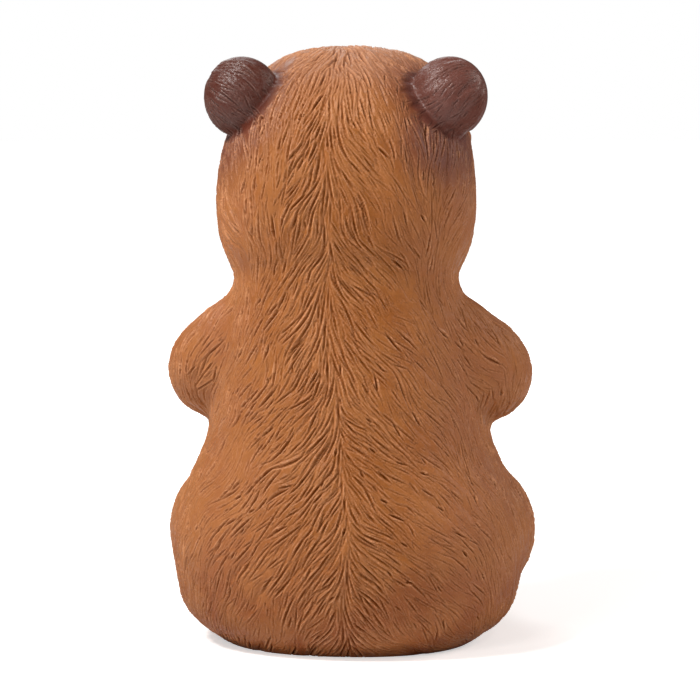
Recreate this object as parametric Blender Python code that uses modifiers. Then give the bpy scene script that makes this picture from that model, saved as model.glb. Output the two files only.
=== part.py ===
"""A capybara figurine, cast in one piece: it sits upright on a flat-cut base with its paws on its
belly, and its fur is carved all over in tapered locks that part along the spine.

+Z is up and the face looks along -Y. The origin is the middle of the underside.
The form is laid out on a grid of 150 units over the figure's height, so that one unit is a
millimetre at full size. Every place and radius below is in these units, and the finished form is
brought to its size in metres at the end. Limbs, ears and eyes are given on the figure's left (+X).
"""

import math
import random

import bmesh
import bpy
import numpy as np
from mathutils import Matrix, Vector
from mathutils.bvhtree import BVHTree
from mathutils.kdtree import KDTree

NAME = "capybara"
HEIGHT = 0.150
GRID_UNITS = 150
GRID = HEIGHT / GRID_UNITS

# Paint
COAT = (0.33, 0.125, 0.045, 1)
COAT_ROUGHNESS = 0.5

# Clay: voxel and smoothing of the big forms, then of the small ones
BIG_VOXEL = 1.5
BIG_SMOOTHING_COUNT = 6
FINE_VOXEL = 0.8
FINE_SMOOTHING_COUNT = 4
SMOOTHING_FACTOR = 0.5
BALL_SEGMENTS = 32
BALL_RINGS = 20
RING_CORNERS = 72
ROWS_PER_STATION = 5
BALLS_PER_STATION = 6
BELOW_FLOOR = 8
MOST_TRIANGLES = 9700

# Trunk, from below the floor to inside the head: height, half width, back, front
TRUNK = (
    (-BELOW_FLOOR, 20, 18, -22),
    (0, 32, 28, -30),
    (5, 38.8, 34, -33.5),
    (10, 42.3, 37, -35.5),
    (18, 44.1, 39, -37),
    (26, 44.8, 40, -37.5),
    (34, 43.2, 39.5, -37),
    (42, 40.2, 38, -36),
    (50, 36.6, 36.4, -35),
    (58, 34.8, 35, -33.4),
    (70, 33, 33.2, -30),
    (80, 31.4, 31.8, -25),
    (90, 28.6, 30.8, -19),
    (104, 26, 31, -12),
)
TRUNK_SQUARENESS = 2.25

# Head, from its back to the nose: depth, half width, middle height, rise, drop, squareness of the top
HEAD = (
    (33, 7, 113, 6, 6, 2.3),
    (31, 16, 113, 17, 15, 2.3),
    (26, 24.4, 112, 26.4, 22, 2.3),
    (18, 30.4, 111, 33.8, 27, 2.3),
    (8, 32.6, 111, 38.6, 29, 2.2),
    (-4, 31, 111, 39.2, 27, 2.9),
    (-16, 28.6, 111.5, 36.4, 22, 2.9),
    (-28, 26, 112, 31.6, 19, 2.5),
    (-38, 25, 112.6, 27, 17.8, 2.4),
    (-45, 23.4, 113, 22.6, 15.8, 2.4),
    (-49, 18.4, 113.6, 16.4, 12, 2.4),
    (-50.8, 9, 114, 8, 6, 2.4),
)
HEAD_UNDER_SQUARENESS = 2.3

# Limbs: places and radii of the balls that a limb runs through
ARM = (
    ((25, 7, 79), 10.4),
    ((28.8, 5, 75), 11.4),
    ((34, 2, 70), 11.8),
    ((35, -3, 67), 11.3),
    ((32, -14, 65.6), 10.6),
    ((23, -25.6, 65.4), 9.4),
    ((14, -33, 66), 8.2),
)
THIGH = (
    ((25, 6, 26.4), 20),
    ((28.4, -9, 26.6), 18.9),
    ((28, -23, 21.6), 16.6),
)
FOOT = (
    ((27, -30, 9), 10.6),
    ((26, -38, 8), 10),
    ((25.4, -43, 7.4), 9.2),
)
JOWL = (
    ((17, -18, 103), 12),
    ((14, -30, 103), 11.4),
    ((10.6, -39, 105), 11),
)

# Ear: an egg on its side, leaning out, with a dish in its front. Both sit a little to the right.
EAR_AT = (25.5, 14.5, 137.4)
EAR_DRIFT = Vector((-0.5, 0, 0))
EAR_RADII = (9.7, 8.4, 10.3)
EAR_LEAN = math.radians(18)
EAR_ROOT = (18, 13, 129)
EAR_REACH = 12.5
EAR_DISH_AT = (31, 8.4, 138.6)
EAR_DISH_RADIUS = 7.4
EAR_DISH_DEPTH = 3

# Eye: a ball under a lid, high on the side of the head
EYE_AT = (25.4, -20, 124.4)
EYE_RADII = (4.4, 4.6, 4.2)
LID_AT = (24.8, -19.6, 127)
LID_RADII = (5, 6.4, 3.6)

# Nose: a low pad across the front of the muzzle, with a nostril at each end
NOSE_AT = (0, -45.2, 126)
NOSE_RADII = (12.4, 6.6, 5.6)
NOSTRIL_AT = (6.2, -50.6, 125.4)
NOSTRIL_RADIUS = 3
NOSTRIL_DEPTH = 2.6

# Fingers and toes: balls side by side at the end of the paw or foot
FINGERS = 4
FINGER_AT = (9, -40.4, 63.4)
FINGER_PITCH = 4.1
FINGER_RADII = (2.7, 3.6, 4.4)
TOES = 3
TOE_AT = (25.4, -48.4, 6)
TOE_PITCH = 5.8
TOE_RADII = (3.7, 5.2, 4.6)

# Mouth: a slit round the muzzle's front, and a split up from its middle to the nose
SLIT_WIDTH = 1.3
SLIT_DEPTH = 1.2
MOUTH_HEIGHT = 104
MOUTH_DROP = 3.4
MOUTH_HALF_WIDTH = 21
LIP_SPLIT_TOP = 120
FACE_DEPTH = 52
MUZZLE_ROUNDING = 0.42

# Parting of the back: it slides from side to side on its way down, and wavers
PARTING_MIDDLE = -0.8
PARTING_SWING = 2.6
PARTING_TURN_HEIGHT = 56
PARTING_TURN_REACH = 18
PARTING_WAVER = 0.6
PARTING_WAVE = 34
PARTING_WIDTH = 4

# Lie of the fur: how far it goes out for each unit down, at heights from the floor up
SPREAD_HEIGHTS = (0, 12, 26, 60, 85, 100, 150)
SPREAD = (0.35, 0.55, 1, 0.85, 0.6, 0.5, 0.5)
RIGHT_SPREAD = 1.5
FRONT_SPREAD = 0.3
HEAD_FROM = 90
HEAD_WHOLE = 104
ARM_BOX = ((22, -46, 54), (50, 12, 84))
FOREARM_FROM = -4
FOREARM_WHOLE = -16
FOOT_BOX = ((12, -60, 0), (44, -27, 19))
UPPER_ARM_LIE = (0, -0.25, -1)
FOREARM_LIE = (-0.8, -1, 0)
FOOT_LIE = (0, -1, -0.35)

# Places with no fur, each with its reach: the eye, nose, nostril, ear dish, fingers and toes
BARE_SPOTS = (
    (EYE_AT, 7.5),
    (NOSE_AT, 9),
    (NOSTRIL_AT, 7),
    (EAR_DISH_AT, 8.5),
    (FINGER_AT, 10),
    (TOE_AT, 10),
)
BARE_HEM = 1

# Locks of fur
SEED = 11
LOCKS = 460
LOCK_TRIES = 60
LOCK_LENGTH = 14
LOCK_LENGTH_SPREAD = 0.3
LOCK_WIDTH = 1.7
LOCK_DEPTH = 1
LOCK_SPACING_ALONG = 9
LOCK_SPACING_ACROSS = 3.4
LOCK_END_SHARPNESS = 0.6
LOCK_END_WIDTH = 0.4
SHORT_LOCK = 0.6
STEP = 1.2


def mirrored(place, side):
    """The place itself on the left, or its twin on the right."""
    x, y, z = place
    return Vector((side * x, y, z))


def ramp(value, start, end):
    """Nothing at the start, one at the end, and smooth between them."""
    t = min(max((value - start) / (end - start), 0), 1)
    return t * t * (3 - 2 * t)


def superellipse(turn, half_width, rise, drop, squareness):
    """A point of a rounded section, across and up, whose lower half may be shorter."""
    across, up = math.cos(turn), math.sin(turn)
    power = 2 / squareness
    height = rise if up > 0 else drop
    return (
        math.copysign(abs(across) ** power, across) * half_width,
        math.copysign(abs(up) ** power, up) * height,
    )


def smooth_rows(rows, per_span):
    """Rows read from a smooth curve through the stations, each column by itself."""
    rows = np.array(rows, float)
    spans = len(rows) - 1
    slopes = np.gradient(rows, axis=0)
    made = []
    for step in range(spans * per_span + 1):
        span = min(step // per_span, spans - 1)
        t = step / per_span - span
        made.append(
            (2 * t**3 - 3 * t**2 + 1) * rows[span]
            + (t**3 - 2 * t**2 + t) * slopes[span]
            + (3 * t**2 - 2 * t**3) * rows[span + 1]
            + (t**3 - t**2) * slopes[span + 1]
        )
    return made


def add_loft(clay, rings):
    """A closed skin through rings of points, flat at both ends."""
    loops = [[clay.verts.new(point) for point in ring] for ring in rings]
    count = len(loops[0])
    for low, high in zip(loops, loops[1:]):
        for i in range(count):
            j = (i + 1) % count
            clay.faces.new((low[i], low[j], high[j], high[i]))
    clay.faces.new(reversed(loops[0]))
    clay.faces.new(loops[-1])


def ring_turns():
    return [math.tau * i / RING_CORNERS for i in range(RING_CORNERS)]


def add_trunk(clay):
    rings = []
    for z, half_width, back, front in smooth_rows(TRUNK, ROWS_PER_STATION):
        middle, half_depth = (back + front) / 2, (back - front) / 2
        ring = []
        for turn in ring_turns():
            x, y = superellipse(turn, half_width, half_depth, half_depth, TRUNK_SQUARENESS)
            ring.append((x, middle + y, z))
        rings.append(ring)
    add_loft(clay, rings)


def add_head(clay):
    rings = []
    for y, half_width, middle, rise, drop, top_squareness in smooth_rows(HEAD, ROWS_PER_STATION):
        ring = []
        for turn in ring_turns():
            squareness = top_squareness if turn < math.pi else HEAD_UNDER_SQUARENESS
            x, z = superellipse(turn, half_width, rise, drop, squareness)
            ring.append((x, y, middle + z))
        rings.append(ring)
    add_loft(clay, rings)


def make_ball():
    """The unit ball that every rounded lump is a copy of."""
    clay = bmesh.new()
    bmesh.ops.create_uvsphere(clay, u_segments=BALL_SEGMENTS, v_segments=BALL_RINGS, radius=1)
    ball = bpy.data.meshes.new("unit ball")
    clay.to_mesh(ball)
    clay.free()
    return ball


def add_ball(clay, ball, place, radii, lean=0.0):
    """An egg with its three radii, leaning about the Y axis through its middle."""
    matrix = Matrix.Translation(place) @ Matrix.Rotation(lean, 4, "Y") @ Matrix.Diagonal((*radii, 1))
    before = len(clay.verts)
    clay.from_mesh(ball)
    clay.verts.ensure_lookup_table()
    bmesh.ops.transform(clay, matrix=matrix, verts=clay.verts[before:])


def add_limb(clay, ball, side, stations):
    """A limb as close-set balls, from one place and radius to the next."""
    rows = [(*place, radius) for place, radius in stations]
    for *place, radius in smooth_rows(rows, BALLS_PER_STATION):
        add_ball(clay, ball, mirrored(place, side), (radius,) * 3)


def add_row(clay, ball, side, middle, count, pitch, radii):
    """Balls side by side along X, such as the toes of a foot."""
    for i in range(count):
        across = Vector(((i - (count - 1) / 2) * pitch, 0, 0))
        add_ball(clay, ball, mirrored(Vector(middle) + across, side), radii)


def mesh_object(clay):
    mesh = bpy.data.meshes.new(NAME)
    bmesh.ops.recalc_face_normals(clay, faces=clay.faces)
    clay.to_mesh(mesh)
    clay.free()
    made = bpy.data.objects.new(NAME, mesh)
    bpy.context.scene.collection.objects.link(made)
    return made


def apply_modifiers(made):
    graph = bpy.context.evaluated_depsgraph_get()
    mesh = bpy.data.meshes.new_from_object(made.evaluated_get(graph))
    made.modifiers.clear()
    made.data = mesh


def fuse(made, voxel, smoothing_count):
    """Makes the clay one skin, with the joins between its lumps softened."""
    remesh = made.modifiers.new("one skin", "REMESH")
    remesh.mode = "VOXEL"
    remesh.voxel_size = voxel
    smooth = made.modifiers.new("soft joins", "SMOOTH")
    smooth.factor = SMOOTHING_FACTOR
    smooth.iterations = smoothing_count
    apply_modifiers(made)


def big_forms(ball):
    """The trunk, head, arms and legs."""
    clay = bmesh.new()
    add_trunk(clay)
    add_head(clay)
    for side in (-1, 1):
        for stations in (ARM, THIGH, JOWL):
            add_limb(clay, ball, side, stations)
    figure = mesh_object(clay)
    fuse(figure, BIG_VOXEL, BIG_SMOOTHING_COUNT)
    return figure


def add_small_forms(figure, ball):
    """The feet, toes, fingers, ears, eyes and nose."""
    clay = bmesh.new()
    clay.from_mesh(figure.data)
    for side in (-1, 1):
        add_limb(clay, ball, side, FOOT)
        add_row(clay, ball, side, TOE_AT, TOES, TOE_PITCH, TOE_RADII)
        add_row(clay, ball, side, FINGER_AT, FINGERS, FINGER_PITCH, FINGER_RADII)
        add_ball(clay, ball, mirrored(EAR_AT, side) + EAR_DRIFT, EAR_RADII, side * EAR_LEAN)
        add_ball(clay, ball, mirrored(EYE_AT, side), EYE_RADII)
        add_ball(clay, ball, mirrored(LID_AT, side), LID_RADII)
    add_ball(clay, ball, NOSE_AT, NOSE_RADII)
    clay.to_mesh(figure.data)
    clay.free()
    fuse(figure, FINE_VOXEL, FINE_SMOOTHING_COUNT)


def parting(z):
    """How far left of the middle the fur parts on the back, at a height."""
    slide = math.tanh((z - PARTING_TURN_HEIGHT) / PARTING_TURN_REACH)
    waver = math.sin(math.tau * z / PARTING_WAVE)
    return PARTING_MIDDLE + PARTING_SWING * slide + PARTING_WAVER * waver


def in_box(place, box):
    return all(low < value < high for value, low, high in zip(place, *box))


def lie_of_fur(place, normal):
    """The way that the fur points at a place on the skin, along the skin."""
    x, y, z = place
    side = math.copysign(1, x)
    left_place = (abs(x), y, z)
    root = mirrored(EAR_ROOT, side)
    if (Vector(left_place) - Vector(EAR_AT)).length < EAR_REACH and z > root.z:
        way = Vector(place) - root
    elif in_box(left_place, FOOT_BOX):
        way = Vector(FOOT_LIE)
    elif in_box(left_place, ARM_BOX):
        forearm = ramp(y, FOREARM_FROM, FOREARM_WHOLE)
        way = Vector(UPPER_ARM_LIE).lerp(mirrored(FOREARM_LIE, side), forearm)
    else:
        spread = float(np.interp(z, SPREAD_HEIGHTS, SPREAD))
        if y < 0:
            off, spread = x, FRONT_SPREAD
        else:
            off = x - parting(z)
            spread *= RIGHT_SPREAD if off < 0 else 1
        head = ramp(z, HEAD_FROM, HEAD_WHOLE)
        way = Vector((spread * math.tanh(off / PARTING_WIDTH), head, -1))
    way -= way.dot(normal) * normal
    return way.normalized()


def bare(place):
    """Whether a place is too near the floor or a smooth spot for a lock to start there."""
    left_place = Vector((abs(place[0]), place[1], place[2]))
    near_spot = any((left_place - Vector(spot)).length < reach for spot, reach in BARE_SPOTS)
    return near_spot or place.z < BARE_HEM


def stroke_along_fur(skin, start, length):
    """Points along the skin that follow the fur, with the start in their middle."""
    halves = []
    for way in (-1, 1):
        half = []
        at = start
        for _ in range(round(length / STEP / 2)):
            at, normal, _, _ = skin.find_nearest(at)
            at = skin.find_nearest(at + way * STEP * lie_of_fur(at, normal))[0]
            half.append(at)
        halves.append(half)
    return [*reversed(halves[0]), start, *halves[1]]


def crowded(start, way, taken):
    """Whether a start is too near another: alongside, the locks lie closer than end to end."""
    for other in taken:
        gap = start - other
        along = gap.dot(way)
        across_squared = gap.length_squared - along**2
        if across_squared < LOCK_SPACING_ACROSS**2 and abs(along) < LOCK_SPACING_ALONG:
            return True
    return False


def place_locks(skin, points, random_source):
    """Strokes all over the fur, none too near another."""
    strokes = []
    taken = []
    for _ in range(LOCKS * LOCK_TRIES):
        if len(strokes) == LOCKS:
            break
        start, normal, _, _ = skin.find_nearest(Vector(points[random_source.randrange(len(points))]))
        if bare(start) or crowded(start, lie_of_fur(start, normal), taken):
            continue
        taken.append(start)
        short = SHORT_LOCK if start.z > HEAD_FROM and start.y < 0 else 1
        spread = random_source.uniform(1 - LOCK_LENGTH_SPREAD, 1 + LOCK_LENGTH_SPREAD)
        strokes.append((stroke_along_fur(skin, start, LOCK_LENGTH * short * spread), LOCK_WIDTH, LOCK_DEPTH))
    return strokes


def face_slits(skin):
    """The mouth, as one slit from side to side, and the split of the upper lip."""
    mouth = []
    count = round(2 * MOUTH_HALF_WIDTH / STEP)
    for i in range(count + 1):
        share = 2 * i / count - 1
        height = MOUTH_HEIGHT - MOUTH_DROP * (1 - share**2)
        depth = FACE_DEPTH * (1 - MUZZLE_ROUNDING * share**4)
        mouth.append(skin.find_nearest(Vector((share * MOUTH_HALF_WIDTH, -depth, height)))[0])
    split = []
    bottom = MOUTH_HEIGHT - MOUTH_DROP
    for i in range(round((LIP_SPLIT_TOP - bottom) / STEP) + 1):
        split.append(skin.find_nearest(Vector((0, -FACE_DEPTH, bottom + i * STEP)))[0])
    return [(mouth, SLIT_WIDTH, SLIT_DEPTH), (split, SLIT_WIDTH, SLIT_DEPTH)]


def carve(points, normals, strokes):
    """Sinks the skin along each stroke, deepest and widest at its middle and nothing at its ends."""
    tree = KDTree(len(points))
    for i, point in enumerate(points):
        tree.insert(point, i)
    tree.balance()
    sink = np.zeros(len(points))
    for stroke, width, depth in strokes:
        near = set()
        for place in stroke:
            near.update(index for _, index, _ in tree.find_range(place, width + STEP))
        near = np.array(sorted(near))
        starts = np.array(stroke[:-1])
        runs = np.diff(np.array(stroke), axis=0)
        gaps = points[near][:, None] - starts
        share = np.clip((gaps * runs).sum(2) / np.maximum((runs**2).sum(1), 1e-9), 0, 1)
        gaps -= share[:, :, None] * runs
        distance = np.linalg.norm(gaps, axis=2)
        nearest = distance.argmin(1)
        each = np.arange(len(near))
        along = (nearest + share[each, nearest]) / len(runs)
        strength = np.sin(math.pi * np.clip(along, 0, 1)) ** LOCK_END_SHARPNESS
        reach = width * (LOCK_END_WIDTH + (1 - LOCK_END_WIDTH) * strength)
        across = np.clip(distance[each, nearest] / reach, 0, 1)
        sink[near] = np.maximum(sink[near], depth * strength * (1 - across**2) ** 2)
    points -= sink[:, None] * normals


def dent(points, normals, place, radius, depth):
    """Presses a round hollow into the skin."""
    across = np.clip(np.linalg.norm(points - np.array(place), axis=1) / radius, 0, 1)
    points -= (depth * (1 - across**2) ** 2)[:, None] * normals


def carve_skin(figure):
    """Carves the dishes, nostrils, mouth and fur into the figure's skin."""
    mesh = figure.data
    points = np.empty(len(mesh.vertices) * 3)
    normals = np.empty(len(mesh.vertices) * 3)
    mesh.vertices.foreach_get("co", points)
    mesh.vertices.foreach_get("normal", normals)
    points = points.reshape(-1, 3)
    normals = normals.reshape(-1, 3)
    skin = BVHTree.FromPolygons(points.tolist(), [face.vertices[:] for face in mesh.polygons])
    strokes = [*face_slits(skin), *place_locks(skin, points, random.Random(SEED))]
    carve(points, normals, strokes)
    for side in (-1, 1):
        dent(points, normals, mirrored(EAR_DISH_AT, side) + EAR_DRIFT, EAR_DISH_RADIUS, EAR_DISH_DEPTH)
        dent(points, normals, mirrored(NOSTRIL_AT, side), NOSTRIL_RADIUS, NOSTRIL_DEPTH)
    mesh.vertices.foreach_set("co", points.ravel())
    mesh.update()


def thin_out(figure):
    """Keeps only the faces that the form needs."""
    thin = figure.modifiers.new("fewer faces", "DECIMATE")
    thin.ratio = MOST_TRIANGLES / (2 * len(figure.data.polygons))
    thin.use_collapse_triangulate = True
    apply_modifiers(figure)


def finish_form(figure):
    """Cuts the figure off flat at the floor, centres it and brings it to its size."""
    clay = bmesh.new()
    clay.from_mesh(figure.data)
    cut = bmesh.ops.bisect_plane(
        clay,
        geom=[*clay.verts, *clay.edges, *clay.faces],
        plane_co=(0, 0, 0),
        plane_no=(0, 0, 1),
        clear_inner=True,
    )
    rim = [item for item in cut["geom_cut"] if isinstance(item, bmesh.types.BMEdge)]
    bmesh.ops.triangle_fill(clay, edges=rim, use_beauty=True)
    bmesh.ops.recalc_face_normals(clay, faces=clay.faces)
    places = np.array([vert.co[:] for vert in clay.verts])
    middle = (places.min(0) + places.max(0)) / 2
    bmesh.ops.translate(clay, vec=(-middle[0], -middle[1], 0), verts=clay.verts)
    bmesh.ops.scale(clay, vec=(GRID,) * 3, verts=clay.verts)
    clay.to_mesh(figure.data)
    clay.free()


def paint(figure):
    material = bpy.data.materials.new("painted resin")
    material.use_nodes = True
    shader = material.node_tree.nodes["Principled BSDF"]
    shader.inputs["Base Color"].default_value = COAT
    shader.inputs["Roughness"].default_value = COAT_ROUGHNESS
    shader.inputs["Metallic"].default_value = 0
    figure.data.materials.append(material)


def build():
    ball = make_ball()
    figure = big_forms(ball)
    add_small_forms(figure, ball)
    carve_skin(figure)
    thin_out(figure)
    finish_form(figure)
    paint(figure)


for leftover in list(bpy.data.objects):
    bpy.data.objects.remove(leftover)
build()
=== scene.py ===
"""The looks of the capybara figurine: its skin at full detail, with thousands of needle strokes, and
its paint, on a pale floor under soft studio light. The camera stands behind it, as in the photograph.

The form is laid out as in the solid: on a grid of 150 units over the figure's height, +Z up, the
face along -Y. Places and radii are in these units, and limbs, ears and eyes are given on the left.
"""

import math
import random

import bmesh
import bpy
import numpy as np
from mathutils import Matrix, Vector
from mathutils import noise as hash_noise
from mathutils.bvhtree import BVHTree
from mathutils.kdtree import KDTree


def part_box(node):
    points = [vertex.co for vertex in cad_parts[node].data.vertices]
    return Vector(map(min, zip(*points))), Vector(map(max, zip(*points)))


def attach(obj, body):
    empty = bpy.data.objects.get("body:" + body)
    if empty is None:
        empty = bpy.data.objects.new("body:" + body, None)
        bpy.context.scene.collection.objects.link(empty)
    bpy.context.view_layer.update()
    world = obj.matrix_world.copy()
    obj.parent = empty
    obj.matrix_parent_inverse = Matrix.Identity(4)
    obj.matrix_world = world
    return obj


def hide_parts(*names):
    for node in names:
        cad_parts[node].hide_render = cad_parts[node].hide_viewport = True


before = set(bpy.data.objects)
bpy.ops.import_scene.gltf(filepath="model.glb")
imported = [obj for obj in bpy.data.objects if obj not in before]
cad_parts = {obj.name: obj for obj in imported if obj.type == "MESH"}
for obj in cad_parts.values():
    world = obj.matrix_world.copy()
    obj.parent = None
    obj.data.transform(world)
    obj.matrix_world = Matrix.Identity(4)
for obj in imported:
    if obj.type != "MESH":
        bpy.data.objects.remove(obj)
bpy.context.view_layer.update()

NODE = "capybara"
HEIGHT = 0.150
GRID_UNITS = 150
GRID = HEIGHT / GRID_UNITS

# Clay: voxel and smoothing of the big forms, of the small ones, and of the finished skin, and how
# finely lofts, limbs and balls are laid out
SMOOTHING = 0.5
BIG_VOXEL = 1.5
BIG_SMOOTHING_PASSES = 6
FINE_VOXEL = 0.8
FINE_SMOOTHING_PASSES = 4
SKIN_VOXEL = 0.26
SKIN_SMOOTHING_PASSES = 32
RING_CORNERS = 72
ROWS_PER_STATION = 5
BALLS_PER_STATION = 6
BALL_SEGMENTS = 32
BALL_ROWS = 20
BELOW_FLOOR = 8
MOST_TRIANGLES = 960000

# The skin is kept as six pieces: a front and a back one in each of three bands of height
BANDS = (("hips", -1, 44), ("chest", 44, 94), ("head", 94, 160))
FRONT_FROM = -4

# Trunk, from below the floor to inside the head: height, half width, back, front
TRUNK = (
    (-BELOW_FLOOR, 20, 18, -22),
    (0, 32, 28, -30),
    (5, 38.8, 34, -33.5),
    (10, 42.3, 37, -35.5),
    (18, 44.1, 39, -37),
    (26, 44.8, 40, -37.5),
    (34, 43.2, 39.5, -37),
    (42, 40.2, 38, -36),
    (50, 36.6, 36.4, -35),
    (58, 34.8, 35, -33.4),
    (70, 33, 33.2, -30),
    (80, 31.4, 31.8, -25),
    (90, 28.6, 30.8, -19),
    (104, 26, 31, -12),
)
TRUNK_SQUARENESS = 2.25

# Head, from its back to the nose: depth, half width, middle height, rise, drop, squareness of the top
HEAD = (
    (33, 7, 113, 6, 6, 2.3),
    (31, 16, 113, 17, 15, 2.3),
    (26, 24.4, 112, 26.4, 22, 2.3),
    (18, 30.4, 111, 33.8, 27, 2.3),
    (8, 32.6, 111, 38.6, 29, 2.2),
    (-4, 31, 111, 39.2, 27, 2.9),
    (-16, 28.6, 111.5, 36.4, 22, 2.9),
    (-28, 26, 112, 31.6, 19, 2.5),
    (-38, 25, 112.6, 27, 17.8, 2.4),
    (-45, 23.4, 113, 22.6, 15.8, 2.4),
    (-49, 18.4, 113.6, 16.4, 12, 2.4),
    (-50.8, 9, 114, 8, 6, 2.4),
)
HEAD_UNDER_SQUARENESS = 2.3

# Limbs: places and radii of the balls that a limb runs through
ARM = (
    ((25, 7, 79), 10.4),
    ((28.8, 5, 75), 11.4),
    ((34, 2, 70), 11.8),
    ((35, -3, 67), 11.3),
    ((32, -14, 65.6), 10.6),
    ((23, -25.6, 65.4), 9.4),
    ((14, -33, 66), 8.2),
)
THIGH = (
    ((25, 6, 26.4), 20),
    ((28.4, -9, 26.6), 18.9),
    ((28, -23, 21.6), 16.6),
)
FOOT = (
    ((27, -30, 9), 10.6),
    ((26, -38, 8), 10),
    ((25.4, -43, 7.4), 9.2),
)
JOWL = (
    ((17, -18, 103), 12),
    ((14, -30, 103), 11.4),
    ((10.6, -39, 105), 11),
)

# Ear: an egg leaning out, with a dish in its front, and the way that its fur points. Both ears sit a
# little to the right
EAR_AT = (25.5, 14.5, 137.4)
EAR_DRIFT = Vector((-0.5, 0, 0))
EAR_RADII = (9.7, 8.4, 10.3)
EAR_LEAN = math.radians(18)
EAR_ROOT_HEIGHT = 129
EAR_LIE = (0.85, 0, 0.6)
EAR_REACH = 12.5
EAR_DISH_AT = (31, 8.4, 138.6)
EAR_DISH_RADIUS = 7.4
EAR_DISH_DEPTH = 3

# Eye: a ball under a lid, high on the side of the head
EYE_AT = (25.4, -20, 124.4)
EYE_RADII = (4.4, 4.6, 4.2)
LID_AT = (24.8, -19.6, 127)
LID_RADII = (5, 6.4, 3.6)

# Nose: a low pad across the front of the muzzle, with a nostril at each end
NOSE_AT = (0, -45.2, 126)
NOSE_RADII = (12.4, 6.6, 5.6)
NOSTRIL_AT = (6.2, -50.6, 125.4)
NOSTRIL_RADIUS = 3
NOSTRIL_DEPTH = 2.6

# Fingers and toes: balls side by side at the end of the paw or foot
FINGERS = 4
FINGER_AT = (9, -40.4, 63.4)
FINGER_PITCH = 4.1
FINGER_RADII = (2.7, 3.6, 4.4)
TOES = 3
TOE_AT = (25.4, -48.4, 6)
TOE_PITCH = 5.8
TOE_RADII = (3.7, 5.2, 4.6)

# Mouth: a slit round the muzzle's front, and a split up from its middle to the nose
SLIT_WIDTH = 1.3
SLIT_DEPTH = 1.2
SLIT_WASH = 0.8
MOUTH_HEIGHT = 104
MOUTH_DROP = 3.4
MOUTH_HALF_WIDTH = 21
LIP_SPLIT_TOP = 120
FACE_DEPTH = 52
MUZZLE_ROUNDING = 0.42

# Parting of the back: it slides from side to side on its way down, and wavers
PARTING_MIDDLE = -0.8
PARTING_SWING = 2.6
PARTING_TURN_HEIGHT = 56
PARTING_TURN_REACH = 18
PARTING_WAVER = 0.6
PARTING_WAVE = 34
PARTING_WIDTH = 4

# Lie of the fur: how far it goes out for each unit down, at heights from the floor up, and more so
# on the right. On the head it goes back, and on the arms and feet it has a lie of its own
SPREAD_HEIGHTS = (0, 12, 26, 60, 85, 100, 150)
SPREAD = (0.35, 0.55, 1, 0.85, 0.6, 0.5, 0.5)
RIGHT_SPREAD = 1.5
FRONT_SPREAD = 0.3
HEAD_FROM = 90
HEAD_WHOLE = 104
ARM_BOX = ((22, -46, 54), (50, 12, 84))
FOREARM_FROM = -4
FOREARM_WHOLE = -16
FOOT_BOX = ((12, -60, 0), (44, -27, 19))
UPPER_ARM_LIE = (0, -0.25, -1)
FOREARM_LIE = (-0.8, -1, 0)
FOOT_LIE = (0, -1, -0.35)

# Random draws, and the step that a stroke takes along the skin
SEED = 11
STEP = 1.2

# Strokes of the fur, from coarse locks to single nicks: how many, the tries for each, the length and
# its spread, the half width, the depth, the spacing along and across, the turn off the fur, the wash
# that they hold, whether the ears have them, and how far from the parting of the back they may be,
# which is anywhere where the strip is 0
LOCKS = dict(
    count=460, tries=60, length=14, spread=0.3, width=1.7, depth=0.5, along=9, across=3.4, turn=0,
    wash=0, ears=True, strip=0,
)
COMBED = dict(
    count=760, tries=20, length=8, spread=0.45, width=0.4, depth=0.75, along=3.6, across=0.95, turn=0.12,
    wash=1, ears=False, strip=10,
)
NEEDLES = dict(
    count=2800, tries=14, length=8.4, spread=0.5, width=0.4, depth=0.72, along=4.4, across=1.3, turn=0.2,
    wash=1, ears=False, strip=0,
)
HAIRS = dict(
    count=9000, tries=8, length=4.8, spread=0.5, width=0.3, depth=0.42, along=2.6, across=0.66,
    turn=0.28, wash=0.6, ears=True, strip=0,
)
NICKS = dict(
    count=800, tries=20, length=4.4, spread=0.45, width=0.4, depth=0.85, along=4.5, across=2.4,
    turn=0.35, wash=1.15, ears=False, strip=0,
)
FINE = (COMBED, NEEDLES, HAIRS, NICKS)

# Smooth patches away from the parting, which of the fine strokes only hairs cross, and the smooth
# join round an ear, as distances from its middle
PATCH_SIZE = 10
PATCH_LEVEL = 0.22
PATCH_OFF_PARTING = 11
EAR_JOIN = (9.9, 11.9)

# How a stroke runs: shorter on the face, and swerving off the lie of the fur
SHORT_STROKE = 0.6
SWERVE = 0.55
SWERVE_WAVE = 9

# How hard the needle was pressed: by chance, and less on each side of the parting, over a span
STRENGTHS = (0.55, 1.25)
RIGHT_STRENGTH = 0.72
RIGHT_SPAN = (4, 16)
LEFT_STRENGTH = 0.85
LEFT_SPAN = (22, 32)

# Section of a stroke: the burr beside it as a share of the depth, the shape of the dip, where the burr
# lies in half widths, how the ends taper, and the least squared length of a step
RIDGE = 0.36
V_SHAPE = 1.2
BURR_REACH = 1.7
BURR_MIDDLE = 1.15
BURR_SPREAD = 0.3
END_SHARPNESS = 0.6
END_WIDTH = 0.35
SHORTEST_SQUARED = 1e-9

# Places with no fur, each with its reach: the eye, nose, nostril, ear dish, fingers and toes
BARE_SPOTS = (
    (EYE_AT, 7.5),
    (NOSE_AT, 9),
    (NOSTRIL_AT, 7),
    (EAR_DISH_AT, 8.5),
    (FINGER_AT, 10),
    (TOE_AT, 10),
)
BARE_HEM = 1

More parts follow.
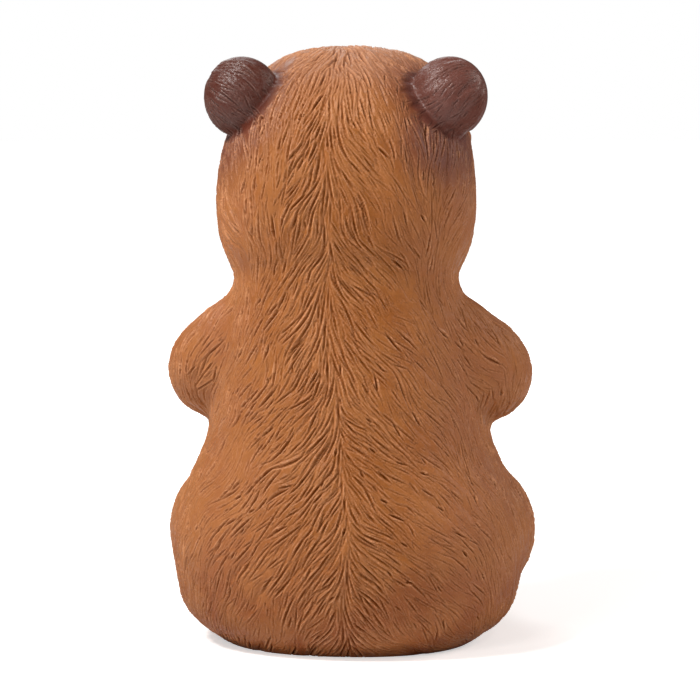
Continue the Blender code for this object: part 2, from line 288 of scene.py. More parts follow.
# Paint: linear colours of the coat and its shades, among them a painted rim sheen, painted shade low
# down and painted light on the crown, the dark parts, the washes, the ridges and the eyes
COAT = (0.24, 0.069, 0.005, 1)
# Painted rim sheen: a pinkish tint towards the sides that stands in for light from the sides
PAINTED_RIM_SHEEN = (0.285, 0.095, 0.028, 1)
# Painted shade: darker and redder coat low down, where the figure faces the floor
PAINTED_LOW_SHADE = (0.2, 0.044, 0.002, 1)
# Painted light: a paler coat on the crown, where the top light and sheen fall
PAINTED_CROWN_LIGHT = (0.3, 0.14, 0.08, 1)
PALE_COAT = (0.33, 0.12, 0.028, 1)
BLUSH = (0.095, 0.02, 0.014, 1)
DARK = (0.07, 0.018, 0.011, 1)
# Painted sheen: the dark paint made lighter towards the right, standing in for glints there
DARK_WITH_PAINTED_SHEEN = (0.11, 0.036, 0.026, 1)
WASH = (0.12, 0.028, 0.005, 1)
DARK_WASH = (0.03, 0.012, 0.01, 1)
# Ridges: paler dry-brushed paint that also stands in for the highlights and glints on them
RIDGE_DRYBRUSH_AND_HIGHLIGHT = (0.62, 0.29, 0.14, 1)
DARK_RIDGE_DRYBRUSH_AND_GLINT = (0.28, 0.17, 0.14, 1)
EYE = (0.003, 0.002, 0.002, 1)
WASH_STRENGTH = 0.72
WASH_FALL = 1.5
RIDGE_HIGHLIGHT_STRENGTH = 1.0
BLUSH_STRENGTH = 0.9

# Shades of the coat: where the painted rim sheen of the sides, the painted shade low down and the
# painted light on the crown come in, and the pale blotches
CLOUD_SCALE = 0.03
CLOUD_REACH = 22
RIM_SHEEN_SPAN = (20, 44)
LOW_SHADE_SPAN = (34, 4)
CROWN_LIGHT_SPAN = (134, 149)
CROWN_LIGHT_STRENGTH = 0.8
BLOTCH_SCALE = 0.09
BLOTCH_DETAIL = 3.0
BLOTCH_SPAN = (0.35, 0.65)
BLOTCH_STRENGTH = 0.5

# Surface: shine, and the grain and specks, whose height is in metres
GLOSS = 0.3
GROOVE_MATTENESS = 0.8
EYE_ROUGHNESS = 0.08
DARK_SHINE = 0.16
ROUGHNESS_SPAN = (0.4, 0.56)
GRAIN_SCALE = 1.7
GRAIN_DETAIL = 4.0
GRAIN_SPAN = (0.3, 0.7)
GRAIN_HEIGHT = 0.00016
GRAININESS = 0.8
SPECK_SCALE = 4.5
SPECK_SHARE = 0.5

# Where the paint changes: the centre and radii of an egg, and the two shares of its radii between
# which the paint fades. All but the smudge by the right ear, which is partly airbrushed and partly
# painted shade, are on both sides
EAR_PAINT_RADII = (10.6, 10.6, 10.6)
BLUSH_SPOT = ((23.5, 13, 132), (19, 19, 22), 0.4, 1.15)
# Smudge by the right ear: partly airbrushed overspray and partly painted shade
SMUDGE_AND_SHADE_SPOT = ((-21, 18, 126), (13, 14, 14), 0.5, 1.2)
EAR_SPOT = (EAR_AT, EAR_PAINT_RADII, 0.94, 1.2)
EAR_CORE = (EAR_AT, EAR_PAINT_RADII, 0.82, 0.9)
PAW_SPOT = ((9, -42, 63), (13, 11, 9), 0.6, 1.1)
FOOT_SPOT = (TOE_AT, (14, 15, 12), 0.6, 1.1)
NOSE_SPOT = (NOSE_AT, (14, 9, 8.5), 0.8, 1.25)
EYE_SPOT = (EYE_AT, EYE_RADII, 1.03, 1.07)
LID_SPOT = (LID_AT, LID_RADII, 0.99, 1.03)

# The join round an ear is dull low down
JOIN_SPAN = (141, 135)
JOIN_SHINE = 0.15

# Studio, in metres: the floor, the sky, the place that the lights shine at, and the lights, each with
# its turn from the front, tilt, reach, size, watts and tint
FLOOR_RADIUS = 6
FLOOR_CORNERS = 96
FLOOR_SHADE = 0.86
FLOOR_ROUGHNESS = 0.9
FLOOR_GLOSS = 0.1
FLOOR_GLOW = 0.5
GLOW_SPAN = (0.2, 0.6)
SKY_LIGHT = 0.16
LIT = (0, 0, 0.08)
LIGHTS = (
    ("key light", 130, 52, 0.9, 0.25, 9.2, (1, 0.97, 0.94)),
    ("sheen light", 157, 22, 1, 0.35, 2, (1, 0.97, 0.95)),
    ("rim light", -80, 28, 1, 0.4, 4.2, (1, 0.87, 0.8)),
    ("ear light", 212, 36, 1, 0.14, 1, (1, 0.94, 0.9)),
    ("front light", 20, 40, 1.2, 0.8, 4, (1, 1, 1)),
)

# Camera: behind the figure, turned and tilted as degrees from its front, and aimed a little low
CAMERA_TURN = 185.8
CAMERA_TILT = 5.4
CAMERA_REACH = 0.7
SENSOR = 36
LENS = 140.2
FIGURE_MIDDLE = (0, 0, 0.075)
AIM = (0.00052, 0, 0.07278)


def mirrored(place, side):
    """The place itself on the left, or its twin on the right."""
    x, y, z = place
    return Vector((side * x, y, z))


def on_left(place):
    """The place itself on the left, or the twin on the left of a place on the right."""
    x, y, z = place
    return Vector((abs(x), y, z))


def ramp(value, start, end):
    """Nothing at the start, one at the end, and smooth between them."""
    t = min(max((value - start) / (end - start), 0), 1)
    return t * t * (3 - 2 * t)


def superellipse(turn, half_width, rise, drop, squareness):
    """A point of a rounded section, across and up, whose lower half may be shorter."""
    across, up = math.cos(turn), math.sin(turn)
    power = 2 / squareness
    height = rise if up > 0 else drop
    return (
        math.copysign(abs(across) ** power, across) * half_width,
        math.copysign(abs(up) ** power, up) * height,
    )


def smooth_rows(rows, per_span):
    """Rows read from a smooth curve through the stations, each column by itself."""
    rows = np.array(rows, float)
    spans = len(rows) - 1
    slopes = np.gradient(rows, axis=0)
    made = []
    for step in range(spans * per_span + 1):
        span = min(step // per_span, spans - 1)
        t = step / per_span - span
        made.append(
            (2 * t**3 - 3 * t**2 + 1) * rows[span]
            + (t**3 - 2 * t**2 + t) * slopes[span]
            + (3 * t**2 - 2 * t**3) * rows[span + 1]
            + (t**3 - t**2) * slopes[span + 1]
        )
    return made


def add_loft(clay, rings):
    """A closed skin through rings of points, flat at both ends."""
    loops = [[clay.verts.new(point) for point in ring] for ring in rings]
    count = len(loops[0])
    for low, high in zip(loops, loops[1:]):
        for i in range(count):
            j = (i + 1) % count
            clay.faces.new((low[i], low[j], high[j], high[i]))
    clay.faces.new(reversed(loops[0]))
    clay.faces.new(loops[-1])


def ring_turns():
    return [math.tau * i / RING_CORNERS for i in range(RING_CORNERS)]


def add_trunk(clay):
    rings = []
    for z, half_width, back, front in smooth_rows(TRUNK, ROWS_PER_STATION):
        middle, half_depth = (back + front) / 2, (back - front) / 2
        ring = []
        for turn in ring_turns():
            x, y = superellipse(turn, half_width, half_depth, half_depth, TRUNK_SQUARENESS)
            ring.append((x, middle + y, z))
        rings.append(ring)
    add_loft(clay, rings)


def add_head(clay):
    rings = []
    for y, half_width, middle, rise, drop, top_squareness in smooth_rows(HEAD, ROWS_PER_STATION):
        ring = []
        for turn in ring_turns():
            squareness = top_squareness if turn < math.pi else HEAD_UNDER_SQUARENESS
            x, z = superellipse(turn, half_width, rise, drop, squareness)
            ring.append((x, y, middle + z))
        rings.append(ring)
    add_loft(clay, rings)


def mesh_of(clay, name):
    """The clay as a mesh, after which the clay is gone."""
    mesh = bpy.data.meshes.new(name)
    clay.to_mesh(mesh)
    clay.free()
    return mesh


def linked(name, data):
    """A new object in the scene, which holds the data."""
    made = bpy.data.objects.new(name, data)
    bpy.context.scene.collection.objects.link(made)
    return made


def make_ball():
    """The unit ball that every rounded lump is a copy of."""
    clay = bmesh.new()
    bmesh.ops.create_uvsphere(clay, u_segments=BALL_SEGMENTS, v_segments=BALL_ROWS, radius=1)
    return mesh_of(clay, "unit ball")


def add_ball(clay, ball, place, radii, lean=0.0):
    """An egg with its three radii, leaning about the Y axis through its middle."""
    matrix = Matrix.Translation(place) @ Matrix.Rotation(lean, 4, "Y") @ Matrix.Diagonal((*radii, 1))
    before = len(clay.verts)
    clay.from_mesh(ball)
    clay.verts.ensure_lookup_table()
    bmesh.ops.transform(clay, matrix=matrix, verts=clay.verts[before:])


def add_limb(clay, ball, side, stations):
    """A limb as close-set balls, from one place and radius to the next."""
    rows = [(*place, radius) for place, radius in stations]
    for *place, radius in smooth_rows(rows, BALLS_PER_STATION):
        add_ball(clay, ball, mirrored(place, side), (radius,) * 3)


def add_row(clay, ball, side, middle, count, pitch, radii):
    """Balls side by side along X, such as the toes of a foot."""
    for i in range(count):
        across = Vector(((i - (count - 1) / 2) * pitch, 0, 0))
        add_ball(clay, ball, mirrored(Vector(middle) + across, side), radii)


def apply_modifiers(made):
    graph = bpy.context.evaluated_depsgraph_get()
    mesh = bpy.data.meshes.new_from_object(made.evaluated_get(graph))
    made.modifiers.clear()
    made.data = mesh


def fuse(made, voxel, passes):
    """Makes the clay one skin, with the joins between its lumps softened."""
    remesh = made.modifiers.new("one skin", "REMESH")
    remesh.mode = "VOXEL"
    remesh.voxel_size = voxel
    smooth = made.modifiers.new("soft joins", "SMOOTH")
    smooth.factor = SMOOTHING
    smooth.iterations = passes
    apply_modifiers(made)


def big_forms(ball):
    """The trunk, head, arms and legs."""
    clay = bmesh.new()
    add_trunk(clay)
    add_head(clay)
    for side in (-1, 1):
        for stations in (ARM, THIGH, JOWL):
            add_limb(clay, ball, side, stations)
    bmesh.ops.recalc_face_normals(clay, faces=clay.faces)
    big = linked("big forms", mesh_of(clay, "big forms"))
    fuse(big, BIG_VOXEL, BIG_SMOOTHING_PASSES)
    return big


def with_small_forms(big, ball, name):
    """The big forms with the feet, toes, fingers, ears, eyes and nose, not yet one skin."""
    clay = bmesh.new()
    clay.from_mesh(big.data)
    for side in (-1, 1):
        add_limb(clay, ball, side, FOOT)
        add_row(clay, ball, side, TOE_AT, TOES, TOE_PITCH, TOE_RADII)
        add_row(clay, ball, side, FINGER_AT, FINGERS, FINGER_PITCH, FINGER_RADII)
        add_ball(clay, ball, mirrored(EAR_AT, side) + EAR_DRIFT, EAR_RADII, side * EAR_LEAN)
        add_ball(clay, ball, mirrored(EYE_AT, side), EYE_RADII)
        add_ball(clay, ball, mirrored(LID_AT, side), LID_RADII)
    add_ball(clay, ball, NOSE_AT, NOSE_RADII)
    return linked(name, mesh_of(clay, name))


def parting(z):
    """How far left of the middle the fur parts on the back, at a height."""
    slide = math.tanh((z - PARTING_TURN_HEIGHT) / PARTING_TURN_REACH)
    waver = math.sin(math.tau * z / PARTING_WAVE)
    return PARTING_MIDDLE + PARTING_SWING * slide + PARTING_WAVER * waver


def in_box(place, box):
    return all(low < value < high for value, low, high in zip(place, *box))


def off_ear(place):
    """The distance from the middle of the nearer ear."""
    return (on_left(place) - Vector(EAR_AT)).length


def on_ear(place):
    return off_ear(place) < EAR_REACH and place.z > EAR_ROOT_HEIGHT


def lie_of_fur(place, normal):
    """The way that the fur points at a place on the skin, along the skin."""
    x, y, z = place
    side = math.copysign(1, x)
    left_place = on_left(place)
    if on_ear(place):
        way = mirrored(EAR_LIE, side)
    elif in_box(left_place, FOOT_BOX):
        way = Vector(FOOT_LIE)
    elif in_box(left_place, ARM_BOX):
        forearm = ramp(y, FOREARM_FROM, FOREARM_WHOLE)
        way = Vector(UPPER_ARM_LIE).lerp(mirrored(FOREARM_LIE, side), forearm)
    else:
        spread = float(np.interp(z, SPREAD_HEIGHTS, SPREAD))
        if y < 0:
            off, spread = x, FRONT_SPREAD
        else:
            off = x - parting(z)
            spread *= RIGHT_SPREAD if off < 0 else 1
        head = ramp(z, HEAD_FROM, HEAD_WHOLE)
        way = Vector((spread * math.tanh(off / PARTING_WIDTH), head, -1))
    way -= way.dot(normal) * normal
    return way.normalized()


def bare(place):
    """Whether a place is too near the floor or a smooth spot for a stroke to start there."""
    left_place = on_left(place)
    near_spot = any((left_place - Vector(spot)).length < reach for spot, reach in BARE_SPOTS)
    return near_spot or place.z < BARE_HEM


def force_on(place):
    """How hard the needle was pressed: on the back less far from the parting, and least to its right."""
    if place.y < 0:
        return 1
    off = place.x - parting(place.z)
    if off < 0:
        return 1 - (1 - RIGHT_STRENGTH) * ramp(-off, *RIGHT_SPAN)
    return 1 - (1 - LEFT_STRENGTH) * ramp(off, *LEFT_SPAN)


def left_smooth(place, coarse):
    """Whether a place is in the join of an ear or, for coarse strokes, on a smooth patch."""
    joined = EAR_JOIN[0] < off_ear(place) < EAR_JOIN[1]
    combed = place.y > 0 and abs(place.x - parting(place.z)) < PATCH_OFF_PARTING
    patch = coarse and not combed and hash_noise.noise(place / PATCH_SIZE) > PATCH_LEVEL
    return joined or patch


def may_start(place, kind):
    """Whether a stroke of a kind may start at a place on the skin."""
    if bare(place) or (on_ear(place) and not kind["ears"]):
        return False
    if kind["turn"] and left_smooth(place, kind is not HAIRS):
        return False
    return not kind["strip"] or (place.y >= 0 and abs(place.x - parting(place.z)) <= kind["strip"])


def stroke_along_fur(skin, start, length, turn):
    """Points along the skin that follow the fur and its swerves, with the start in their middle."""
    halves = []
    for way in (-1, 1):
        half = []
        at = start
        for _ in range(max(round(length / STEP / 2), 1)):
            at, normal, _, _ = skin.find_nearest(at)
            lie = lie_of_fur(at, normal)
            if turn:
                off = turn + SWERVE * hash_noise.noise(at / SWERVE_WAVE)
                lie = lie + math.tan(off) * normal.cross(lie)
                lie.normalize()
            at = skin.find_nearest(at + way * STEP * lie)[0]
            half.append(at)
        halves.append(half)
    return [*reversed(halves[0]), start, *halves[1]]


def place_strokes(skin, points, source, kind):
    """Strokes all over the fur, none too near another: alongside they lie closer than end to end."""
    starts = np.zeros((kind["count"], 3))
    strokes = []
    for _ in range(kind["count"] * kind["tries"]):
        found = len(strokes)
        if found == kind["count"]:
            break
        start, normal, _, _ = skin.find_nearest(Vector(points[source.randrange(len(points))]))
        if not may_start(start, kind):
            continue
        gaps = starts[:found] - np.array(start)
        along = gaps @ np.array(lie_of_fur(start, normal))
        across_squared = (gaps**2).sum(1) - along**2
        if ((across_squared < kind["across"] ** 2) & (abs(along) < kind["along"])).any():
            continue
        starts[found] = start
        short = SHORT_STROKE if start.z > HEAD_FROM and start.y < 0 else 1
        length = kind["length"] * short * source.uniform(1 - kind["spread"], 1 + kind["spread"])
        turn, strength = 0, 1
        if kind["turn"]:
            turn = source.uniform(-kind["turn"], kind["turn"])
            strength = source.uniform(*STRENGTHS) * (1 if kind is NICKS else force_on(start))
        stroke = stroke_along_fur(skin, start, length, turn)
        width = kind["width"] * strength**0.5
        strokes.append((stroke, width, kind["depth"] * strength, kind["wash"] * strength))
    return strokes


def face_slits(skin):
    """The mouth, as one slit from side to side, and the split of the upper lip."""
    mouth = []
    count = round(2 * MOUTH_HALF_WIDTH / STEP)
    for i in range(count + 1):
        share = 2 * i / count - 1
        height = MOUTH_HEIGHT - MOUTH_DROP * (1 - share**2)
        depth = FACE_DEPTH * (1 - MUZZLE_ROUNDING * share**4)
        mouth.append(skin.find_nearest(Vector((share * MOUTH_HALF_WIDTH, -depth, height)))[0])
    split = []
    bottom = MOUTH_HEIGHT - MOUTH_DROP
    for i in range(round((LIP_SPLIT_TOP - bottom) / STEP) + 1):
        split.append(skin.find_nearest(Vector((0, -FACE_DEPTH, bottom + i * STEP)))[0])
    return [(slit, SLIT_WIDTH, SLIT_DEPTH, SLIT_WASH) for slit in (mouth, split)]


def tree_of(points):
    tree = KDTree(len(points))
    for i, point in enumerate(points):
        tree.insert(point, i)
    tree.balance()
    return tree


def beside(stroke, points, normals):
    """The distance of points from a stroke, along the skin, and the share of its length they are at."""
    starts = np.array(stroke[:-1])
    runs = np.diff(np.array(stroke), axis=0)
    gaps = points[:, None] - starts
    share = np.clip((gaps * runs).sum(2) / np.maximum((runs**2).sum(1), SHORTEST_SQUARED), 0, 1)
    gaps -= share[:, :, None] * runs
    lift = (gaps * normals[:, None]).sum(2)
    distance = np.sqrt(np.maximum((gaps**2).sum(2) - lift**2, 0))
    nearest = distance.argmin(1)
    each = np.arange(len(points))
    return distance[each, nearest], (nearest + share[each, nearest]) / len(runs)


def carve(tree, points, normals, strokes):
    """How far the strokes sink and raise the skin, and how much paint they hold, at each of its points.
    A stroke is deepest and widest at its middle, and has a low burr along each side."""
    sink = np.zeros(len(points))
    burr = np.zeros(len(points))
    wash = np.zeros(len(points))
    for stroke, width, depth, paint_held in strokes:
        near = set()
        for place in stroke:
            near.update(index for _, index, _ in tree.find_range(place, width * BURR_REACH + STEP / 2))
        near = np.array(sorted(near))
        distance, along = beside(stroke, points[near], normals[near])
        strength = np.sin(math.pi * np.clip(along, 0, 1)) ** END_SHARPNESS
        reach = width * (END_WIDTH + (1 - END_WIDTH) * strength)
        off = distance / reach
        dip = strength * (1 - np.clip(off, 0, 1)) ** V_SHAPE
        edge = strength * np.exp(-(((off - BURR_MIDDLE) / BURR_SPREAD) ** 2))
        sink[near] = np.maximum(sink[near], depth * dip)
        burr[near] = np.maximum(burr[near], RIDGE * depth * edge)
        wash[near] = np.maximum(wash[near], paint_held * dip)
    return sink, burr, wash


def dent(points, normals, place, radius, depth):
    """Presses a round hollow into the skin."""
    across = np.clip(np.linalg.norm(points - np.array(place), axis=1) / radius, 0, 1)
    points -= (depth * (1 - across**2) ** 2)[:, None] * normals


def mesh_arrays(mesh):
    points = np.empty(len(mesh.vertices) * 3)
    normals = np.empty(len(mesh.vertices) * 3)
    mesh.vertices.foreach_get("co", points)
    mesh.vertices.foreach_get("normal", normals)
    return points.reshape(-1, 3), normals.reshape(-1, 3)


def skin_tree(made):
    return BVHTree.FromPolygons(
        [vert.co for vert in made.data.vertices], [face.vertices[:] for face in made.data.polygons]
    )


def cut_at_floor(figure):
    """Cuts the figure off flat at the floor."""
    clay = bmesh.new()
    clay.from_mesh(figure.data)
    cut = bmesh.ops.bisect_plane(
        clay,
        geom=[*clay.verts, *clay.edges, *clay.faces],
        plane_co=(0, 0, 0),
        plane_no=(0, 0, 1),
        clear_inner=True,
    )
    rim = [item for item in cut["geom_cut"] if isinstance(item, bmesh.types.BMEdge)]
    filled = bmesh.ops.triangle_fill(clay, edges=rim, use_beauty=True)
    bmesh.ops.triangulate(clay, faces=[face for face in clay.faces if len(face.verts) > 3])
    bmesh.ops.recalc_face_normals(clay, faces=clay.faces)
    for face in clay.faces:
        face.smooth = True
    for item in filled["geom"]:
        if isinstance(item, bmesh.types.BMFace):
            item.smooth = False
    clay.to_mesh(figure.data)
    clay.free()


def thin_out(figure):
    """Thins the four-cornered faces of the skin out to its most triangles."""
    thin = figure.modifiers.new("fewer faces", "DECIMATE")
    thin.ratio = MOST_TRIANGLES / (2 * len(figure.data.polygons))
    thin.use_collapse_triangulate = True
    apply_modifiers(figure)


def store(mesh, name, values):
    """Keeps a value on each point of a mesh."""
    attribute = mesh.attributes.new(name, "FLOAT", "POINT")
    attribute.data.foreach_set("value", np.ascontiguousarray(values, np.float32))


def stored(mesh, name):
    values = np.empty(len(mesh.vertices), np.float32)
    mesh.attributes[name].data.foreach_get("value", values)
    return values


def make_piece(name, mesh, kept, corners, normals, points):
    """A piece of the skin with the kept faces, shaded as if the skin were still whole."""
    used, faces = np.unique(corners[kept], return_inverse=True)
    part = bpy.data.meshes.new(name)
    part.from_pydata(points[used], [], faces.reshape(-1, 3))
    part.normals_split_custom_set(normals[kept].reshape(-1, 3))
    for value in ("groove", "ridge"):
        store(part, value, stored(mesh, value)[used])
    return linked(name, part)


def split_skin(figure):
    """The skin as its six pieces."""
    mesh = figure.data
    count = len(mesh.polygons)
    corners = np.empty(count * 3, np.int32)
    mesh.loops.foreach_get("vertex_index", corners)
    corners = corners.reshape(-1, 3)
    normals = np.empty(count * 9, np.float32)
    mesh.corner_normals.foreach_get("vector", normals)
    normals = normals.reshape(-1, 3, 3)
    points = mesh_arrays(mesh)[0]
    middles = points[corners].mean(1) / GRID
    in_front = middles[:, 1] < FRONT_FROM
    pieces = []
    for band, low, high in BANDS:
        level = (middles[:, 2] >= low) & (middles[:, 2] < high)
        for half, chosen in (("front", in_front), ("back", ~in_front)):
            pieces.append(make_piece(f"{band}_{half}", mesh, level & chosen, corners, normals, points))
    bpy.data.objects.remove(figure)
    return pieces


def lay_strokes(rough):
    """The coarse strokes and slits, and the fine strokes, laid out on a rough skin."""
    skin = skin_tree(rough)
    source = random.Random(SEED)
    starts = mesh_arrays(rough.data)[0]
    coarse = [*face_slits(skin), *place_strokes(skin, starts, source, LOCKS)]
    fine = [stroke for kind in FINE for stroke in place_strokes(skin, starts, source, kind)]
    return coarse, fine


def carve_skin(figure, coarse, fine):
    """Carves the strokes and hollows, and stores where wash is held and where ridges get paler paint and
    painted highlights.
    """
    points, normals = mesh_arrays(figure.data)
    tree = tree_of(points)
    valley, _, slit_wash = carve(tree, points, normals, coarse)
    groove, burr, wash = carve(tree, points, normals, fine)
    wash = np.maximum(wash, slit_wash)
    ridge = burr * (1 - np.clip(wash, 0, 1))
    points += (ridge - valley - groove)[:, None] * normals
    for side in (-1, 1):
        dent(points, normals, mirrored(EAR_DISH_AT, side) + EAR_DRIFT, EAR_DISH_RADIUS, EAR_DISH_DEPTH)
        dent(points, normals, mirrored(NOSTRIL_AT, side), NOSTRIL_RADIUS, NOSTRIL_DEPTH)
    figure.data.vertices.foreach_set("co", points.ravel())
    figure.data.update()
    store(figure.data, "groove", wash)
    store(figure.data, "ridge", ridge / ridge.max())


def make_figure():
    """The whole skin, carved, thinned to its most triangles and cut off at the floor."""
    ball = make_ball()
    big = big_forms(ball)
    rough = with_small_forms(big, ball, "rough skin")
    figure = with_small_forms(big, ball, "figure")
    fuse(rough, FINE_VOXEL, FINE_SMOOTHING_PASSES)
    fuse(figure, SKIN_VOXEL, SKIN_SMOOTHING_PASSES)
    carve_skin(figure, *lay_strokes(rough))
    thin_out(figure)
    cut_at_floor(figure)
    for helper in (big, rough):
        bpy.data.objects.remove(helper)
    return figure


def place_on_frame(figure):
    """Brings the figure from its grid to real size, centred on the solid. It returns the move made."""
    low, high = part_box(NODE)
    points = mesh_arrays(figure.data)[0] * GRID
    middle = (points.min(0) + points.max(0)) / 2
    shift = ((low.x + high.x) / 2 - middle[0], (low.y + high.y) / 2 - middle[1], 0)
    figure.data.vertices.foreach_set("co", (points + np.array(shift)).ravel())
    figure.data.update()
    return shift


def wire(tree, kind, inputs=None, **settings):
    """A node with its settings, and with its sockets set to values or linked to other sockets."""
    made = tree.nodes.new(kind)
    for name, value in settings.items():
        setattr(made, name, value)
    for key, value in (inputs or {}).items():
        if isinstance(value, bpy.types.NodeSocket):
            tree.links.new(value, made.inputs[key])
        else:
            made.inputs[key].default_value = value
    return made


def mixed(tree, factor, first, second):
    """A colour between two colours, which may be plain values or sockets."""
    mix = wire(tree, "ShaderNodeMix", data_type="RGBA")
    for socket, value in zip((mix.inputs[0], mix.inputs[6], mix.inputs[7]), (factor, first, second)):
        if isinstance(value, bpy.types.NodeSocket):
            tree.links.new(value, socket)
        else:
            socket.default_value = value
    return mix.outputs[2]


def worked(tree, operation, *values, clamp=False):
    """The result of a sum on numbers or sockets."""
    inputs = dict(enumerate(values))
    return wire(tree, "ShaderNodeMath", inputs, operation=operation, use_clamp=clamp).outputs[0]


def mapped(tree, value, start, end, low=0.0, high=1.0):
    """A value brought smoothly from low at the start to high at the end."""
    inputs = {"Value": value, "From Min": start, "From Max": end, "To Min": low, "To Max": high}
    return wire(tree, "ShaderNodeMapRange", inputs, interpolation_type="SMOOTHSTEP").outputs[0]


def noise(tree, place, scale, detail=2.0):
    inputs = {"Vector": place, "Scale": scale, "Detail": detail}
    return wire(tree, "ShaderNodeTexNoise", inputs).outputs["Fac"]


def spot(tree, place, centre, radii, inner, outer):
    """One inside an egg about a centre and nothing outside, faded between two shares of its radii."""
    gap = wire(tree, "ShaderNodeVectorMath", {0: place, 1: centre}, operation="SUBTRACT").outputs[0]
    share = wire(tree, "ShaderNodeVectorMath", {0: gap, 1: radii}, operation="DIVIDE").outputs[0]
    far = wire(tree, "ShaderNodeVectorMath", {0: share}, operation="LENGTH").outputs["Value"]
    return mapped(tree, far, outer, inner)


def colour(red, green, blue):
    return (red, green, blue, 1)


def grid_places(tree, shift):
    """A place on the grid, its three parts, and the place or its twin on the left."""
    whole = wire(tree, "ShaderNodeTexCoord").outputs["Object"]
    grid = wire(
        tree,
        "ShaderNodeVectorMath",
        {0: whole, 1: (1 / GRID,) * 3, 2: [-part / GRID for part in shift]},
        operation="MULTIPLY_ADD",
    ).outputs[0]
    parts = wire(tree, "ShaderNodeSeparateXYZ", {0: grid}).outputs
    side = worked(tree, "ABSOLUTE", parts[0])
    left = wire(tree, "ShaderNodeCombineXYZ", {0: side, 1: parts[1], 2: parts[2]}).outputs[0]
    return grid, parts, left


def coat_paint(tree, grid, parts):
    """Golden brown and blotched, with a pinkish painted rim sheen on the flanks, painted reddish shade
    low down, and painted light that makes the crown pale.
    """
    clouds = noise(tree, grid, CLOUD_SCALE)
    side = worked(tree, "ABSOLUTE", parts[0])
    # Painted rim sheen, pinker towards the sides
    rim_sheen = mapped(tree, worked(tree, "MULTIPLY_ADD", clouds, CLOUD_REACH, side), *RIM_SHEEN_SPAN)
    coat = mixed(tree, rim_sheen, COAT, PAINTED_RIM_SHEEN)
    # Painted shade low down
    low = mapped(tree, parts[2], *LOW_SHADE_SPAN)
    coat = mixed(tree, low, coat, PAINTED_LOW_SHADE)
    patches = noise(tree, grid, BLOTCH_SCALE, BLOTCH_DETAIL)
    blotches = mapped(tree, patches, *BLOTCH_SPAN, 0.0, BLOTCH_STRENGTH)
    coat = mixed(tree, blotches, coat, PALE_COAT)
    # Painted light on the crown
    crown_light = mapped(tree, parts[2], *CROWN_LIGHT_SPAN, 0.0, CROWN_LIGHT_STRENGTH)
    return mixed(tree, crown_light, coat, PAINTED_CROWN_LIGHT)


def blushed(tree, coat, grid, left):
    """The coat with a reddish blush round the ears, and a smudge of it by the right one that is partly
    painted shade.
    """
    blush_and_shade = worked(tree, "MAXIMUM", spot(tree, left, *BLUSH_SPOT), spot(tree, grid, *SMUDGE_AND_SHADE_SPOT))
    return mixed(tree, worked(tree, "MULTIPLY", blush_and_shade, BLUSH_STRENGTH), coat, BLUSH)


def dark_parts(tree, left):
    """One on the ears, paws, feet and nose, and nothing elsewhere."""
    dark = spot(tree, left, *EAR_SPOT)
    for place in (PAW_SPOT, FOOT_SPOT, NOSE_SPOT):
        dark = worked(tree, "MAXIMUM", dark, spot(tree, left, *place))
    return dark


def eyes(tree, left):
    """One on the eyes and nothing elsewhere, with the lids left out."""
    lid = spot(tree, left, *LID_SPOT)
    return worked(tree, "MULTIPLY", spot(tree, left, *EYE_SPOT), worked(tree, "SUBTRACT", 1.0, lid))


def wiped(tree, coat, dark, groove, ridge):
    """The coat with dark wash held in its grooves, and paler paint on its ridges, partly rubbed on and
    partly painted highlight.
    """
    washed = mixed(tree, dark, WASH, DARK_WASH)
    held = worked(tree, "MULTIPLY", worked(tree, "POWER", groove, WASH_FALL), WASH_STRENGTH, clamp=True)
    coat = mixed(tree, held, coat, washed)
    # Paler ridges: partly dry-brush, partly painted highlight
    brushed_and_highlit = mixed(tree, dark, RIDGE_DRYBRUSH_AND_HIGHLIGHT, DARK_RIDGE_DRYBRUSH_AND_GLINT)
    return mixed(tree, worked(tree, "MULTIPLY", ridge, RIDGE_HIGHLIGHT_STRENGTH), coat, brushed_and_highlit)


def roughness(tree, grain, dark, eye):
    """Satin on the coat, smoother on the dark parts, and wet on the eyes."""
    satin = mapped(tree, grain, *GRAIN_SPAN, *ROUGHNESS_SPAN)
    satin = worked(tree, "MULTIPLY_ADD", dark, -DARK_SHINE, satin)
    inputs = {0: eye, 2: satin, 3: EYE_ROUGHNESS}
    return wire(tree, "ShaderNodeMix", inputs, data_type="FLOAT").outputs[0]


def shine(tree, left, height, groove):
    """Duller in the grooves, and dullest low in the join round an ear."""
    gloss = worked(tree, "MULTIPLY_ADD", groove, -GLOSS * GROOVE_MATTENESS, GLOSS, clamp=True)
    join = worked(tree, "SUBTRACT", spot(tree, left, *EAR_SPOT), spot(tree, left, *EAR_CORE))
    join = worked(tree, "MULTIPLY", join, mapped(tree, height, *JOIN_SPAN), clamp=True)
    return worked(tree, "MULTIPLY", gloss, mapped(tree, join, 0.0, 1.0, 1.0, JOIN_SHINE))


def relief(tree, grid, grain, eye):
    """Fine grain and specks on all but the eyes."""
    height = worked(tree, "MULTIPLY_ADD", noise(tree, grid, SPECK_SCALE), SPECK_SHARE, grain)
    graininess = worked(tree, "MULTIPLY_ADD", eye, -GRAININESS, GRAININESS)
    inputs = {"Height": height, "Strength": graininess, "Distance": GRAIN_HEIGHT}
    return wire(tree, "ShaderNodeBump", inputs).outputs[0]


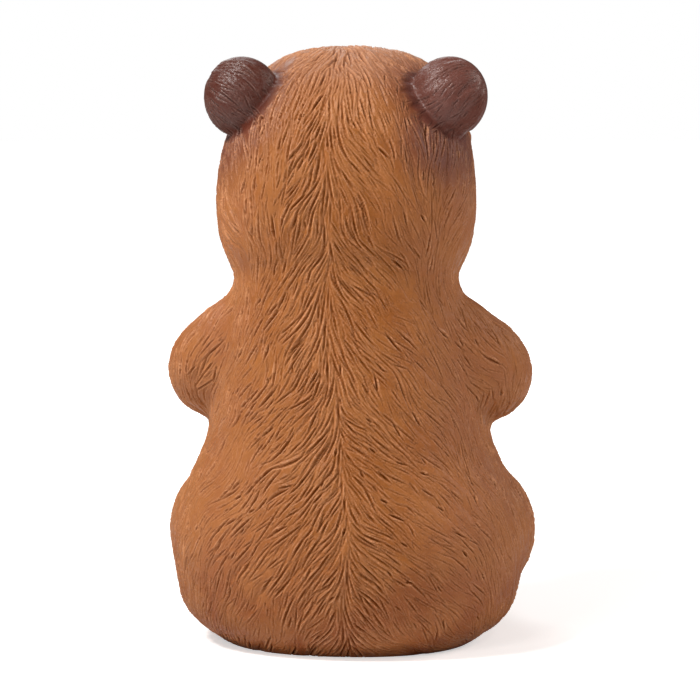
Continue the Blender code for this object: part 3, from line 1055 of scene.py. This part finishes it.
def paint(pieces, shift):
    """Painted resin: a golden brown coat, darker washes in the grooves and dark ears, nose and feet."""
    material = bpy.data.materials.new("painted resin")
    material.use_nodes = True
    tree = material.node_tree
    grid, parts, left = grid_places(tree, shift)
    groove = wire(tree, "ShaderNodeAttribute", attribute_name="groove").outputs["Fac"]
    ridge = wire(tree, "ShaderNodeAttribute", attribute_name="ridge").outputs["Fac"]
    grain = noise(tree, grid, GRAIN_SCALE, GRAIN_DETAIL)
    dark = dark_parts(tree, left)
    eye = eyes(tree, left)
    coat = blushed(tree, coat_paint(tree, grid, parts), grid, left)
    # Painted sheen: the dark parts lighter towards the right
    right_sheen = mapped(tree, parts[0], 0.0, -EAR_AT[0])
    coat = mixed(tree, dark, coat, mixed(tree, right_sheen, DARK, DARK_WITH_PAINTED_SHEEN))
    coat = wiped(tree, coat, dark, groove, ridge)
    looks = {
        "Base Color": mixed(tree, eye, coat, EYE),
        "Roughness": roughness(tree, grain, dark, eye),
        "Specular IOR Level": shine(tree, left, parts[2], groove),
        "Normal": relief(tree, grid, grain, eye),
    }
    for name, socket in looks.items():
        tree.links.new(socket, tree.nodes["Principled BSDF"].inputs[name])
    for piece in pieces:
        piece.data.materials.append(material)


def floor_material():
    """Pale and matte near the figure, and glowing white further off, so that no horizon shows."""
    material = bpy.data.materials.new("pale floor")
    material.use_nodes = True
    tree = material.node_tree
    shader = tree.nodes["Principled BSDF"]
    shader.inputs["Base Color"].default_value = colour(FLOOR_SHADE, FLOOR_SHADE, FLOOR_SHADE)
    shader.inputs["Roughness"].default_value = FLOOR_ROUGHNESS
    shader.inputs["Specular IOR Level"].default_value = FLOOR_GLOSS
    shader.inputs["Emission Color"].default_value = colour(1, 1, 1)
    place = wire(tree, "ShaderNodeTexCoord").outputs["Object"]
    far = wire(tree, "ShaderNodeVectorMath", {0: place}, operation="LENGTH").outputs["Value"]
    glow = mapped(tree, far, *GLOW_SPAN, FLOOR_GLOW, 1.0)
    seen = wire(tree, "ShaderNodeLightPath").outputs["Is Camera Ray"]
    tree.links.new(worked(tree, "MULTIPLY", glow, seen), shader.inputs["Emission Strength"])
    return material


def add_floor():
    clay = bmesh.new()
    bmesh.ops.create_circle(clay, cap_ends=True, radius=FLOOR_RADIUS, segments=FLOOR_CORNERS)
    floor = linked("floor", mesh_of(clay, "floor"))
    floor.data.materials.append(floor_material())


def around(turn, tilt, reach, target):
    """A place at a reach from the target, turned from the front and tilted up, in degrees."""
    a, e = math.radians(turn), math.radians(tilt)
    way = Vector((math.sin(a) * math.cos(e), -math.cos(a) * math.cos(e), math.sin(e)))
    return Vector(target) + reach * way


def aim(made, place, target):
    """Puts a light or a camera at a place, facing the target."""
    made.location = place
    made.rotation_euler = (Vector(target) - place).to_track_quat("-Z", "Y").to_euler()


def add_lights():
    for name, turn, tilt, reach, size, power, tint in LIGHTS:
        light = bpy.data.lights.new(name, "AREA")
        light.shape = "DISK"
        light.size = size
        light.energy = power
        light.color = tint
        aim(linked(name, light), around(turn, tilt, reach, LIT), LIT)


def add_sky():
    """Pale light from all round, and plain white where the camera sees past the floor."""
    world = bpy.data.worlds.new("studio")
    bpy.context.scene.world = world
    world.use_nodes = True
    tree = world.node_tree
    back = tree.nodes["Background"]
    back.inputs["Color"].default_value = colour(1, 1, 1)
    seen = wire(tree, "ShaderNodeLightPath").outputs["Is Camera Ray"]
    strength = mapped(tree, seen, 0.0, 1.0, SKY_LIGHT, 1.0)
    tree.links.new(strength, back.inputs["Strength"])


def add_camera():
    camera = bpy.data.cameras.new("camera")
    camera.sensor_width = SENSOR
    camera.lens = LENS
    made = linked("camera", camera)
    aim(made, around(CAMERA_TURN, CAMERA_TILT, CAMERA_REACH, FIGURE_MIDDLE), AIM)
    bpy.context.scene.camera = made


figure = make_figure()
shift = place_on_frame(figure)
pieces = split_skin(figure)
paint(pieces, shift)
for piece in pieces:
    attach(piece, "root")
    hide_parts(NODE)
add_floor()
add_lights()
add_sky()
add_camera()
bpy.context.scene.view_settings.view_transform = "Standard"
